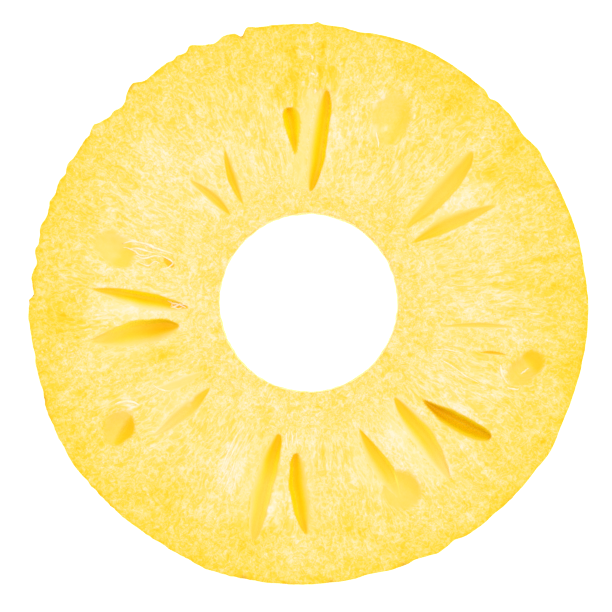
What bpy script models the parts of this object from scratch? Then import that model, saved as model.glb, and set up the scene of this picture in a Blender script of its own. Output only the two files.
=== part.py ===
"""A pineapple ring: one slice across a peeled and cored pineapple, lying flat.

The slice is one solid. Its rim is the uneven path of the peeling knife, its middle is the round
hole of the core cutter, and both faces are opened by the seed pockets of the fruitlets that the
cut went through: narrow slits that run outwards in pairs, and round shallow basins under the rind.

Units are metres, with +Z up. The origin is at the middle of the slice's box, on the underside.
Bearings are in degrees, counter-clockwise from +X as seen from above.
"""

import math

import bmesh
import bpy
from mathutils import Vector

MM = 0.001

# Driving dimensions of the slice.
THICKNESS = 12.0 * MM
RIM_RADIUS = 46.65 * MM
CORE_RADIUS = 15.0 * MM
EDGE_ROUND = 0.3 * MM
RIM_POINTS = 288
CORE_POINTS = 72

# The slow swells of the rim: waves round the slice, height, and the bearing of a crest.
RIM_SWELLS = (
    (1, 0.50 * MM, -102),
    (2, 0.13 * MM, 75),
    (3, 0.34 * MM, -21),
    (7, 0.14 * MM, 4),
)

# Where the knife bit in or left a tooth: bearing, half-width in degrees, and height over the swell.
RIM_BITES = (
    (7, 3.2, -0.25 * MM),
    (33.5, 1.6, 0.30 * MM),
    (38.5, 2.3, -0.42 * MM),
    (48.5, 0.9, -0.40 * MM),
    (66, 7.0, 0.28 * MM),
    (79.5, 2.5, -0.35 * MM),
    (88.2, 0.8, 0.40 * MM),
    (102.5, 1.2, 0.40 * MM),
    (104, 0.9, -0.85 * MM),
    (110.3, 1.8, -0.65 * MM),
    (114.7, 1.0, 0.65 * MM),
    (118, 0.8, 0.25 * MM),
    (125, 2.0, -0.25 * MM),
    (129, 1.9, 0.75 * MM),
    (133.5, 1.9, -0.95 * MM),
    (137, 1.1, -0.45 * MM),
    (140.5, 1.2, 0.45 * MM),
    (178, 1.6, -0.45 * MM),
    (182.5, 4.0, 0.35 * MM),
    (197, 2.8, -0.30 * MM),
    (215, 2.6, 0.18 * MM),
    (235, 6.0, -0.15 * MM),
    (250, 4.5, 0.35 * MM),
    (283, 2.6, -0.30 * MM),
    (292.7, 1.6, -0.32 * MM),
    (297.5, 1.3, 0.25 * MM),
    (301.5, 1.6, -0.40 * MM),
    (311.5, 1.5, -0.20 * MM),
    (328.5, 3.8, 0.42 * MM),
)

# A run of small saw marks where the knife was drawn to and fro.
SAW_FROM = 142.3
SAW_TO = 176.6
SAW_PITCH = 4.9
SAW_HEIGHT = 0.15 * MM

# A seed pocket, as a slit from its inner tip to its heel near the rim:
# tip radius (mm), tip bearing, heel radius (mm), heel bearing, half-width (mm), depth (mm),
# widest point (share of its length), bow (mm, towards greater bearings),
# lean of the floor (-1 to 1, towards greater bearings), roundness of the tip and of the heel.
POINTED = 1.1
ROUND = 0.38
TOP_POCKETS = (
    (19.6, 37.6, 37.2, 42.6, 1.62, 1.2, 0.58, -0.2, -0.5, POINTED, 0.55),
    (19.5, 30.0, 35.9, 27.2, 1.25, 1.2, 0.45, 0.6, -0.4, POINTED, POINTED),
    (18.6, 89.4, 35.5, 85.3, 1.40, 2.2, 0.52, 0.0, -0.72, 0.5, ROUND),
    (23.6, 95.6, 32.7, 95.4, 1.45, 2.4, 0.82, -0.3, 0.30, 1.8, ROUND),
    (19.2, 123.8, 29.4, 118.6, 0.72, 1.0, 0.50, 0.3, 0.4, POINTED, POINTED),
    (19.2, 131.9, 28.9, 134.3, 0.75, 0.8, 0.40, -0.4, 0.0, POINTED, POINTED),
    (20.0, 183.0, 36.9, 176.1, 1.36, 2.0, 0.42, 0.25, -0.60, 0.7, POINTED),
    (21.8, 190.0, 37.5, 190.2, 2.05, 2.4, 0.40, 0.2, -0.6, 0.75, POINTED),
    (21.3, 220.6, 34.6, 220.4, 1.20, 1.1, 0.42, 0.3, 0.3, POINTED, POINTED),
    (22.4, 257.4, 40.6, 256.8, 1.52, 1.9, 0.52, -0.7, 0.4, 0.7, 0.6),
    (25.2, 265.6, 38.2, 269.2, 1.35, 2.4, 0.45, -0.45, -0.6, ROUND, POINTED),
    (22.6, 291.1, 36.6, 295.0, 1.45, 1.4, 0.60, 0.0, 0.5, 1.5, POINTED),
    (21.4, 312.8, 37.6, 308.4, 1.70, 1.7, 0.48, 0.4, 0.3, 0.8, 0.6),
    (24.9, 319.6, 37.8, 323.3, 1.32, 3.4, 0.64, -0.15, 0.15, POINTED, ROUND),
)
UNDER_POCKETS = (
    (20.6, 14.0, 36.4, 16.5, 1.20, 1.6, 0.45, 0.4, 0.4, POINTED, POINTED),
    (22.0, 57.0, 36.8, 53.5, 1.35, 2.4, 0.45, -0.4, -0.4, ROUND, POINTED),
    (21.0, 65.0, 35.2, 66.0, 1.10, 1.5, 0.50, 0.2, 0.4, POINTED, POINTED),
    (21.4, 107.5, 37.2, 104.5, 1.30, 2.4, 0.42, 0.5, -0.4, ROUND, POINTED),
    (20.4, 150.5, 35.6, 147.5, 1.25, 1.6, 0.45, -0.3, 0.4, POINTED, POINTED),
    (22.4, 158.5, 37.4, 160.5, 1.15, 2.2, 0.45, 0.4, 0.4, ROUND, POINTED),
    (21.2, 204.5, 36.6, 202.0, 1.40, 2.4, 0.42, 0.3, -0.5, ROUND, POINTED),
    (22.2, 238.0, 37.4, 240.5, 1.25, 1.6, 0.45, -0.4, 0.4, POINTED, POINTED),
    (20.8, 245.5, 34.8, 248.5, 1.05, 1.5, 0.50, 0.2, 0.4, POINTED, POINTED),
    (21.8, 280.5, 37.0, 279.0, 1.30, 2.4, 0.42, 0.4, -0.4, ROUND, POINTED),
    (22.6, 333.5, 36.2, 335.5, 1.20, 1.6, 0.45, 0.3, 0.4, POINTED, POINTED),
)

# A basin is the round end of a pocket that the cut only grazed:
# middle radius (mm), middle bearing, half-length outwards (mm), half-width across (mm), depth (mm).
TOP_BASINS = (
    (33.8, 66.3, 5.4, 3.5, 1.0),
    (33.6, 164.6, 4.2, 3.0, 0.8),
    (37.9, 213.2, 3.1, 3.0, 1.6),
    (35.0, 296.2, 3.9, 3.4, 1.3),
    (37.7, 343.0, 3.0, 3.2, 1.3),
)
UNDER_BASINS = (
    (35.0, 35.0, 3.4, 2.8, 1.6),
    (36.2, 125.5, 3.2, 3.0, 1.8),
    (36.0, 178.0, 3.6, 2.8, 1.4),
    (36.4, 220.0, 3.2, 3.0, 1.6),
    (36.0, 306.0, 3.4, 2.9, 1.8),
)

# The cutters that open the pockets.
SECTION_POINTS = 12
LENGTH_STEPS = 11
CUTTER_LIFT = 0.25 * MM
CUTTER_CROWN = 1.6 * MM

FLESH_COLOUR = (0.97, 0.72, 0.18, 1.0)
FLESH_ROUGHNESS = 0.42


def clear_scene():
    """Start from an empty scene."""
    for old in list(bpy.data.objects):
        bpy.data.objects.remove(old, do_unlink=True)


def new_collection(name):
    """A collection in the scene."""
    collection = bpy.data.collections.new(name)
    bpy.context.scene.collection.children.link(collection)
    return collection


def flesh_material():
    """Wet yellow fruit flesh."""
    material = bpy.data.materials.new("pineapple_flesh")
    material.use_nodes = True
    shader = material.node_tree.nodes["Principled BSDF"]
    shader.inputs["Base Color"].default_value = FLESH_COLOUR
    shader.inputs["Roughness"].default_value = FLESH_ROUGHNESS
    shader.inputs["Metallic"].default_value = 0.0
    material.diffuse_color = FLESH_COLOUR
    return material


def turn_between(bearing, other):
    """The signed angle from the other bearing to this one, in degrees, from -180 to 180."""
    return (bearing - other + 180.0) % 360.0 - 180.0


def rim_radius(bearing):
    """Distance of the rim from the middle of the hole: swells, knife bites and saw marks."""
    radius = RIM_RADIUS
    for waves, height, crest in RIM_SWELLS:
        radius += height * math.cos(waves * math.radians(bearing - crest))
    for place, half_width, height in RIM_BITES:
        offset = turn_between(bearing, place) / half_width
        radius += height * math.exp(-offset * offset)
    if SAW_FROM < bearing < SAW_TO:
        radius -= SAW_HEIGHT * math.cos(math.tau * (bearing - SAW_FROM) / SAW_PITCH)
    return radius


def polar(radius, bearing):
    """A flat point from a radius and a bearing in degrees."""
    angle = math.radians(bearing)
    return Vector((radius * math.cos(angle), radius * math.sin(angle), 0.0))


def rim_outline():
    """Points round the rim, measured from the middle of the hole."""
    step = 360.0 / RIM_POINTS
    return [polar(rim_radius(i * step), i * step) for i in range(RIM_POINTS)]


def core_outline():
    """Points round the hole of the core cutter."""
    step = 360.0 / CORE_POINTS
    return [polar(CORE_RADIUS, i * step) for i in range(CORE_POINTS)]


def hole_middle():
    """Where the middle of the hole lies once the rim's box is centred on the origin."""
    rim = rim_outline()
    middle_x = (min(p.x for p in rim) + max(p.x for p in rim)) / 2.0
    middle_y = (min(p.y for p in rim) + max(p.y for p in rim)) / 2.0
    return Vector((-middle_x, -middle_y, 0.0))


def add_loop(curve, points, middle):
    """One closed outline in a flat curve."""
    spline = curve.splines.new("POLY")
    spline.points.add(len(points) - 1)
    for knot, point in zip(spline.points, points):
        knot.co = (*(point + middle), 1.0)
    spline.use_cyclic_u = True


def make_slice(collection, middle):
    """The plain slice: the rim's outline with the core hole, at full thickness with eased edges."""
    curve = bpy.data.curves.new("slice_outline", "CURVE")
    curve.dimensions = "2D"
    curve.fill_mode = "BOTH"
    curve.extrude = THICKNESS / 2.0 - EDGE_ROUND
    curve.bevel_depth = EDGE_ROUND
    curve.bevel_resolution = 0
    curve.offset = -EDGE_ROUND
    add_loop(curve, rim_outline(), middle)
    add_loop(curve, core_outline(), middle)
    drawn = bpy.data.objects.new("slice_outline", curve)
    drawn.location.z = THICKNESS / 2.0
    collection.objects.link(drawn)
    bpy.context.view_layer.update()

    evaluated = drawn.evaluated_get(bpy.context.evaluated_depsgraph_get())
    mesh = bpy.data.meshes.new_from_object(evaluated)
    shape = bmesh.new()
    shape.from_mesh(mesh)
    bmesh.ops.remove_doubles(shape, verts=shape.verts, dist=0.005 * MM)
    shape.to_mesh(mesh)
    shape.free()

    ring = bpy.data.objects.new("ring_flesh", mesh)
    ring.matrix_world = drawn.matrix_world.copy()
    collection.objects.link(ring)
    bpy.data.objects.remove(drawn, do_unlink=True)
    return ring


def swell(share, widest, tip_roundness, heel_roundness):
    """How full a pocket is along its length: 0 at both ends and 1 at its widest point.

    On each side of the widest point it is (1 - u * u) to the power of that end's roundness, with u
    running from 0 at the widest point to 1 at the end: 0.5 gives a round end, 1 or more a point.
    """
    if share < widest:
        away = 1.0 - share / widest
        roundness = tip_roundness
    else:
        away = (share - widest) / (1.0 - widest)
        roundness = heel_roundness
    return max(0.0, 1.0 - away * away) ** roundness


def slit_cutter(pocket, face_height, outward, middle):
    """A canoe-shaped cutter: a sphere drawn out from the pocket's tip to its heel.

    outward is 1 on the upper face and -1 on the underside. The part of the sphere inside the slice
    is the pocket, as wide and deep as the swell says, with its keel leaning to one side.
    """
    tip_mm, tip_at, heel_mm, heel_at, width_mm, depth_mm, widest, bow_mm, lean, tip_end, heel_end = pocket
    tip = polar(tip_mm * MM, tip_at) + middle
    heel = polar(heel_mm * MM, heel_at) + middle
    along = heel - tip
    across = Vector((-along.y, along.x, 0.0)).normalized()

    shape = bmesh.new()
    bmesh.ops.create_uvsphere(shape, u_segments=SECTION_POINTS, v_segments=LENGTH_STEPS, radius=1.0)
    for vertex in shape.verts:
        side, down, pole = vertex.co
        share = (pole + 1.0) / 2.0
        girth = math.sqrt(max(0.0, 1.0 - pole * pole))
        side_part = side / girth if girth > 1e-6 else 0.0
        down_part = down / girth if girth > 1e-6 else 0.0
        full = swell(share, widest, tip_end, heel_end)
        offset = width_mm * MM * full * side_part + bow_mm * MM * 4.0 * share * (1.0 - share)
        height = CUTTER_LIFT
        if down_part < 0.0:
            offset += lean * width_mm * MM * full * -down_part
            height -= (CUTTER_LIFT + depth_mm * MM * full) * -down_part
        else:
            height += CUTTER_CROWN * girth * down_part
        vertex.co = tip + along * share + across * offset
        vertex.co.z = face_height + outward * height
    return shape


def basin_cutter(basin, face_height, outward, middle):
    """A lens-shaped cutter that leaves a round shallow dish."""
    radius_mm, bearing, length_mm, width_mm, depth_mm = basin
    place = polar(radius_mm * MM, bearing) + middle
    along = polar(1.0, bearing)
    across = polar(1.0, bearing + 90.0)

    shape = bmesh.new()
    bmesh.ops.create_uvsphere(shape, u_segments=2 * SECTION_POINTS, v_segments=8, radius=1.0)
    for vertex in shape.verts:
        out, side, up = vertex.co
        flat = place + along * (length_mm * MM * out) + across * (width_mm * MM * side)
        height = CUTTER_LIFT + up * (depth_mm * MM + CUTTER_LIFT if up < 0.0 else CUTTER_CROWN)
        vertex.co = flat
        vertex.co.z = face_height + outward * height
    return shape


def add_cutter(collection, name, shape, outward):
    """A hidden closed solid. One for the underside is a mirrored shape, so its faces are turned round."""
    if outward < 0.0:
        bmesh.ops.reverse_faces(shape, faces=shape.faces)
    mesh = bpy.data.meshes.new(name)
    shape.to_mesh(mesh)
    shape.free()
    cutter = bpy.data.objects.new(name, mesh)
    cutter.hide_render = True
    cutter.display_type = "WIRE"
    collection.objects.link(cutter)


def make_cutters(collection, middle):
    """One cutter for each pocket and basin of both faces."""
    faces = (
        ("top", THICKNESS, 1.0, TOP_POCKETS, TOP_BASINS),
        ("under", 0.0, -1.0, UNDER_POCKETS, UNDER_BASINS),
    )
    for face, height, outward, pockets, basins in faces:
        for number, pocket in enumerate(pockets, 1):
            shape = slit_cutter(pocket, height, outward, middle)
            add_cutter(collection, f"{face}_pocket_{number}", shape, outward)
        for number, basin in enumerate(basins, 1):
            shape = basin_cutter(basin, height, outward, middle)
            add_cutter(collection, f"{face}_basin_{number}", shape, outward)


def open_pockets(ring, cutters):
    """Take every cutter out of the slice."""
    cut = ring.modifiers.new("seed_pockets", "BOOLEAN")
    cut.operation = "DIFFERENCE"
    cut.operand_type = "COLLECTION"
    cut.collection = cutters
    cut.solver = "EXACT"


def finish_slice(ring):
    """Flesh on the slice, smooth across its rounded walls and sharp at the cut faces."""
    ring.data.materials.clear()
    ring.data.materials.append(flesh_material())
    ring.data.shade_smooth()
    ring.data.set_sharp_from_angle(angle=math.radians(35.0))


clear_scene()
parts = new_collection("pineapple_ring")
cutters = new_collection("cutters")
cutters.hide_render = True
centre = hole_middle()
flesh = make_slice(parts, centre)
make_cutters(cutters, centre)
open_pockets(flesh, cutters)
finish_slice(flesh)
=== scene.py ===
import math

import bpy
import numpy as np
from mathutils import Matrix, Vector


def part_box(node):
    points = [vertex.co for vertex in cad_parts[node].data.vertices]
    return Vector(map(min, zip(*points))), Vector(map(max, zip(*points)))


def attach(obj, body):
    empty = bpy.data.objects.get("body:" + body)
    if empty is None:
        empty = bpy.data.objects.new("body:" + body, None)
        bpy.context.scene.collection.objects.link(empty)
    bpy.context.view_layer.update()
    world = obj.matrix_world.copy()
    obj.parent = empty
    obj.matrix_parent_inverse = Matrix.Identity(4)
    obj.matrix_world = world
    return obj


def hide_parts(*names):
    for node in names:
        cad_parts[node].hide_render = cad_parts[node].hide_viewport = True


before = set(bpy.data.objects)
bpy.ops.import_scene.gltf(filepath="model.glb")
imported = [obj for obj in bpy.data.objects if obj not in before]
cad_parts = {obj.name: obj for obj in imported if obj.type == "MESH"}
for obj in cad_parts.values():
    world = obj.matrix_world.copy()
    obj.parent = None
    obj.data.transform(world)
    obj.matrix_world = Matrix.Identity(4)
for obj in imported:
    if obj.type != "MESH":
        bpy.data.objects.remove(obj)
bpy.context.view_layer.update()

# ---------------------------------------------------------------------------------------------
# The slice.
# One ring cut across a peeled and cored pineapple: wet, pulpy flesh in one piece. A peeling knife
# left its uneven rim, a core cutter its round hole, and two straight cuts its faces, which open
# the seed pockets of the fruitlets. Lengths in this section are in millimetres.

MM = 0.001
CORE_RADIUS = 15.0
RIM_RADIUS = 46.65
FACE_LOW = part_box("ring_flesh")[0].z / MM
FACE_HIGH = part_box("ring_flesh")[1].z / MM

# Slow swells of the rim: waves round the slice, height, bearing of a crest in degrees.
RIM_SWELLS = ((1, 0.50, -102), (2, 0.13, 75), (3, 0.34, -21), (7, 0.14, 4))

# Where the peeling knife bit in or left a tooth: bearing, half-width in degrees, height.
RIM_BITES = (
    (7, 3.2, -0.25), (33.5, 1.6, 0.30), (38.5, 2.3, -0.42), (48.5, 0.9, -0.40), (66, 7.0, 0.28),
    (79.5, 2.5, -0.35), (88.2, 0.8, 0.40), (102.5, 1.2, 0.40), (104, 0.9, -0.85), (110.3, 1.8, -0.65),
    (114.7, 1.0, 0.65), (118, 0.8, 0.25), (125, 2.0, -0.25), (129, 1.9, 0.75), (133.5, 1.9, -0.95),
    (137, 1.1, -0.45), (140.5, 1.2, 0.45), (178, 1.6, -0.45), (178.5, 0.5, -0.25), (179.4, 0.4, 0.30),
    (182.5, 4.0, 0.35), (197, 2.8, -0.30), (215, 2.6, 0.18), (235, 6.0, -0.15), (250, 4.5, 0.35),
    (283, 2.6, -0.30), (292.7, 1.6, -0.32), (297.5, 1.3, 0.25), (301.5, 1.6, -0.40),
    (311.5, 1.5, -0.20), (328.5, 3.8, 0.42),
)

# A row of even saw teeth at the left: its first and last bearing, pitch in degrees, and height, and the
# step in bearing at which the rim is measured.
SAW_FROM = 142.3
SAW_TO = 176.6
SAW_PITCH = 4.9
SAW_HEIGHT = 0.15
RIM_STEP = 1.25


def gradient_noise(x, y, z, seed):
    """Smooth random values, mostly from -1 to 1, one unit from bump to bump.

    Each corner of a unit grid has a fixed random slope. The value is the sum of the eight corners'
    slopes times the way from the corner, blended by 6t^5 - 15t^4 + 10t^3.
    """
    x, y, z = np.broadcast_arrays(np.asarray(x, float), y, z)
    corner = [np.floor(v).astype(np.int64) for v in (x, y, z)]
    way = [v - c for v, c in zip((x, y, z), corner)]
    ease = [w * w * w * (w * (w * 6.0 - 15.0) + 10.0) for w in way]
    total = np.zeros(x.shape)
    for step in range(8):
        far = [step & 1, step >> 1 & 1, step >> 2 & 1]
        key = (corner[0] + far[0]) * 73856093 ^ (corner[1] + far[1]) * 19349663
        key = key ^ (corner[2] + far[2]) * 83492791 ^ seed * 2654435761
        key = (key ^ key >> 13) * 1274126177 & 0xFFFFFFFF
        key = (key ^ key >> 15) * 2246822519 & 0xFFFFFFFF
        key = key ^ key >> 16
        weight = np.ones(x.shape)
        dot = np.zeros(x.shape)
        for axis in range(3):
            slope = (key >> (axis * 10) & 1023) / 511.5 - 1.0
            dot += slope * (way[axis] - far[axis])
            weight = weight * (ease[axis] if far[axis] else 1.0 - ease[axis])
        total += dot * weight
    return total * 1.5


def layered_noise(x, y, z, seed, layers, fall):
    """Gradient noise in layers, each twice as fine as the last and weaker by the fall."""
    total = 0.0
    for layer in range(layers):
        fine = 2.0 ** layer
        total = total + fall ** layer * gradient_noise(x * fine, y * fine, z * fine, seed + layer)
    return total


def smooth_step(low, high, value):
    """0 below low, 1 above high, and an S-curve between."""
    t = np.clip((value - low) / (high - low), 0.0, 1.0)
    return t * t * (3.0 - 2.0 * t)


def degrees_past(place, bearing):
    """How far a bearing lies past a place, from -180 to 180 degrees."""
    return (bearing - place + 180.0) % 360.0 - 180.0


def rim_radius(bearing):
    """Distance of the rim from the middle of the hole, at bearings in degrees.

    It is the rim's radius, plus height * cos(waves * (bearing - crest)) for each swell, plus height *
    exp(-(offset / half-width)^2) for each bite or tooth, less a row of saw teeth over one stretch.
    """
    radius = np.full(bearing.shape, RIM_RADIUS)
    for waves, height, crest in RIM_SWELLS:
        radius += height * np.cos(waves * np.radians(bearing - crest))
    for place, half_width, height in RIM_BITES:
        offset = degrees_past(place, bearing) / half_width
        radius += height * np.exp(-offset * offset)
    sawn = (bearing > SAW_FROM) & (bearing < SAW_TO)
    return radius - sawn * SAW_HEIGHT * np.cos(math.tau * (bearing - SAW_FROM) / SAW_PITCH)


def middle_of_hole():
    """The hole's middle, once the rim's box, measured at even bearings, is centred on the origin."""
    bearing = np.arange(0.0, 360.0, RIM_STEP)
    rim = rim_radius(bearing)
    x = rim * np.cos(np.radians(bearing))
    y = rim * np.sin(np.radians(bearing))
    return -(x.min() + x.max()) / 2.0, -(y.min() + y.max()) / 2.0


HOLE_X, HOLE_Y = middle_of_hole()

# Seed pockets, each a slit from its inner tip to its heel near the rim: tip radius, tip bearing,
# heel radius, heel bearing, half-width, depth, widest point as a share of the length, bow and lean
# towards greater bearings, and the roundness of the tip and of the heel.
POINTED = 1.1
ROUND = 0.38
TOP_POCKETS = (
    (19.6, 37.6, 37.2, 42.6, 1.62, 1.2, 0.58, -0.45, -0.5, POINTED, 0.55),
    (19.5, 30.0, 35.9, 27.2, 1.25, 1.2, 0.45, 0.6, -0.4, POINTED, POINTED),
    (18.6, 89.4, 35.5, 85.3, 1.40, 2.2, 0.52, 0.0, -0.72, 0.5, ROUND),
    (23.6, 95.6, 32.7, 95.4, 1.45, 2.4, 0.82, -0.3, 0.30, 1.8, ROUND),
    (19.2, 123.8, 29.4, 118.6, 0.72, 1.0, 0.50, 0.3, 0.4, POINTED, POINTED),
    (19.2, 131.9, 28.9, 134.3, 0.75, 0.8, 0.40, -0.4, 0.0, POINTED, POINTED),
    (20.0, 183.0, 36.9, 176.1, 1.36, 2.0, 0.42, 0.25, -0.60, 0.7, POINTED),
    (21.8, 190.0, 37.5, 190.2, 2.05, 2.4, 0.40, 0.2, -0.6, 0.75, POINTED),
    (21.3, 220.6, 34.6, 220.4, 1.20, 1.1, 0.42, 0.3, 0.3, POINTED, POINTED),
    (22.4, 257.4, 40.6, 256.8, 1.58, 1.9, 0.50, -0.6, 0.4, 0.45, 0.46),
    (25.2, 265.6, 38.8, 269.7, 1.42, 2.4, 0.50, -0.35, -0.6, ROUND, 0.75),
    (22.2, 291.1, 36.6, 295.0, 1.45, 1.4, 0.58, 0.0, 0.5, POINTED, POINTED),
    (21.2, 312.6, 37.6, 308.4, 1.70, 1.7, 0.46, 0.1, 0.3, 0.7, 0.6),
    (24.5, 319.6, 37.8, 323.3, 1.46, 3.4, 0.64, -0.45, 0.15, POINTED, ROUND),
)
UNDER_POCKETS = (
    (20.6, 14.0, 36.4, 16.5, 1.20, 1.6, 0.45, 0.4, 0.4, POINTED, POINTED),
    (22.0, 57.0, 36.8, 53.5, 1.35, 2.4, 0.45, -0.4, -0.4, ROUND, POINTED),
    (21.0, 65.0, 35.2, 66.0, 1.10, 1.5, 0.50, 0.2, 0.4, POINTED, POINTED),
    (21.4, 107.5, 37.2, 104.5, 1.30, 2.4, 0.42, 0.5, -0.4, ROUND, POINTED),
    (20.4, 150.5, 35.6, 147.5, 1.25, 1.6, 0.45, -0.3, 0.4, POINTED, POINTED),
    (22.4, 158.5, 37.4, 160.5, 1.15, 2.2, 0.45, 0.4, 0.4, ROUND, POINTED),
    (21.2, 204.5, 36.6, 202.0, 1.40, 2.4, 0.42, 0.3, -0.5, ROUND, POINTED),
    (22.2, 238.0, 37.4, 240.5, 1.25, 1.6, 0.45, -0.4, 0.4, POINTED, POINTED),
    (20.8, 245.5, 34.8, 248.5, 1.05, 1.5, 0.50, 0.2, 0.4, POINTED, POINTED),
    (21.8, 280.5, 37.0, 279.0, 1.30, 2.4, 0.42, 0.4, -0.4, ROUND, POINTED),
    (22.6, 333.5, 36.2, 335.5, 1.20, 1.6, 0.45, 0.3, 0.4, POINTED, POINTED),
)

# Look of each pocket above, in the same order: shade of its deepest line at the tip, middle and heel,
# shade of its shallow wall, where on that wall the deep colour ends, brown at the tip and at the heel,
# partly stain and partly painted shade, how far its deepest line shifts across on the way to the heel,
# and depth and reach of the soft shoulder outside. The deep golden towards a pocket's deepest line is
# painted shade of its depth.
TOP_LININGS = (
    (0.28, 0.37, 0.25, 0.40, 0.50, 0.00, 0.00, 0.0, 0.10, 0.8),
    (0.17, 0.34, 0.34, 0.40, 0.50, 0.00, 0.00, 0.0, 0.15, 0.8),
    (0.00, 0.03, 0.02, 0.45, 0.38, 0.06, 0.00, 0.0, 0.55, 2.0),
    (0.02, 0.00, 0.00, 0.14, 0.30, 0.10, 0.10, 0.4, 0.15, 0.8),
    (0.24, 0.15, 0.24, 0.38, 0.50, 0.00, 0.00, 0.0, 0.15, 0.8),
    (0.21, 0.31, 0.38, 0.38, 0.50, 0.00, 0.00, 0.0, 0.12, 0.8),
    (0.06, 0.01, 0.20, 0.54, 0.50, 0.10, 0.00, 0.0, 0.25, 1.3),
    (0.00, 0.24, 0.42, 0.42, 0.40, 0.50, 0.00, 0.0, 0.20, 1.4),
    (0.20, 0.46, 0.56, 0.52, 0.50, 0.00, 0.00, 0.0, 0.25, 1.4),
    (0.00, 0.36, 0.35, 0.44, 0.42, 0.04, 0.00, 0.0, 0.25, 1.3),
    (0.00, 0.02, 0.12, 0.36, 0.42, 0.16, 0.08, 0.0, 0.25, 1.2),
    (0.06, 0.18, 0.42, 0.46, 0.55, 0.00, 0.00, 0.2, 0.30, 1.6),
    (0.12, 0.25, 0.50, 0.56, 0.48, 0.00, 0.00, 1.0, 0.30, 1.6),
    (0.00, 0.00, 0.00, 0.03, 0.22, 1.00, 0.44, 0.5, 0.10, 0.8),
)
UNDER_LININGS = ((0.04, 0.18, 0.34, 0.40, 0.45, 0.10, 0.00, 0.0, 0.25, 1.2),) * len(UNDER_POCKETS)

# Small slits that the cut left in the flesh, too fine to hold a seed: two cracks along the fibres, a
# long graze and a short one. The same numbers as for the pockets, then for the linings.
TOP_CRACKS = (
    (29.7, 343.8, 34.4, 345.2, 0.28, 0.50, 0.45, 0.1, 0.5, POINTED, POINTED),
    (21.9, 349.4, 35.0, 353.1, 0.42, 0.24, 0.55, 0.3, 0.3, POINTED, POINTED),
    (20.5, 213.3, 29.2, 209.9, 0.80, 0.18, 0.55, 0.3, 0.3, POINTED, ROUND),
    (23.2, 164.9, 25.2, 162.9, 0.55, 0.50, 0.50, 0.1, 0.3, ROUND, ROUND),
)
TOP_CRACK_LININGS = (
    (0.12, 0.16, 0.24, 0.36, 0.50, 0.05, 0.00, 0.0, 0.10, 0.6),
    (0.36, 0.36, 0.42, 0.50, 0.50, 0.00, 0.00, 0.0, 0.10, 0.8),
    (0.50, 0.54, 0.56, 0.60, 0.50, 0.00, 0.00, 0.0, 0.10, 0.8),
    (0.20, 0.18, 0.26, 0.34, 0.50, 0.12, 0.06, 0.0, 0.05, 0.6),
)

# Basins, where the cut only grazed a pocket's round end: radius and bearing of the middle, half-length
# towards the deeper side, half-width, depth, shade and smoothness of the lining, bearing of the deeper
# side, and how much more golden it is there, which is painted shade of the deeper side.
TOP_BASINS = (
    (33.5, 66.3, 3.5, 5.4, 1.0, 0.43, 0.78, -20, 0.35),
    (33.6, 164.6, 4.2, 3.0, 0.8, 0.46, 0.92, -35, 0.30),
    (37.9, 213.2, 2.8, 3.3, 1.6, 0.40, 0.88, -32, 0.95),
    (35.0, 296.2, 3.3, 4.0, 1.3, 0.42, 0.95, 50, 0.25),
    (37.7, 343.0, 3.7, 2.5, 1.3, 0.40, 0.86, 38, 0.72),
)
UNDER_BASINS = (
    (35.0, 35.0, 3.4, 2.8, 1.6, 0.42, 0.9, 100, 0.4),
    (36.2, 125.5, 3.2, 3.0, 1.8, 0.40, 0.9, 40, 0.6),
    (36.0, 178.0, 3.6, 2.8, 1.4, 0.45, 0.9, 260, 0.3),
    (36.4, 220.0, 3.2, 3.0, 1.6, 0.42, 0.9, 130, 0.7),
    (36.0, 306.0, 3.4, 2.9, 1.8, 0.38, 0.9, 200, 0.5),
)

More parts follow.
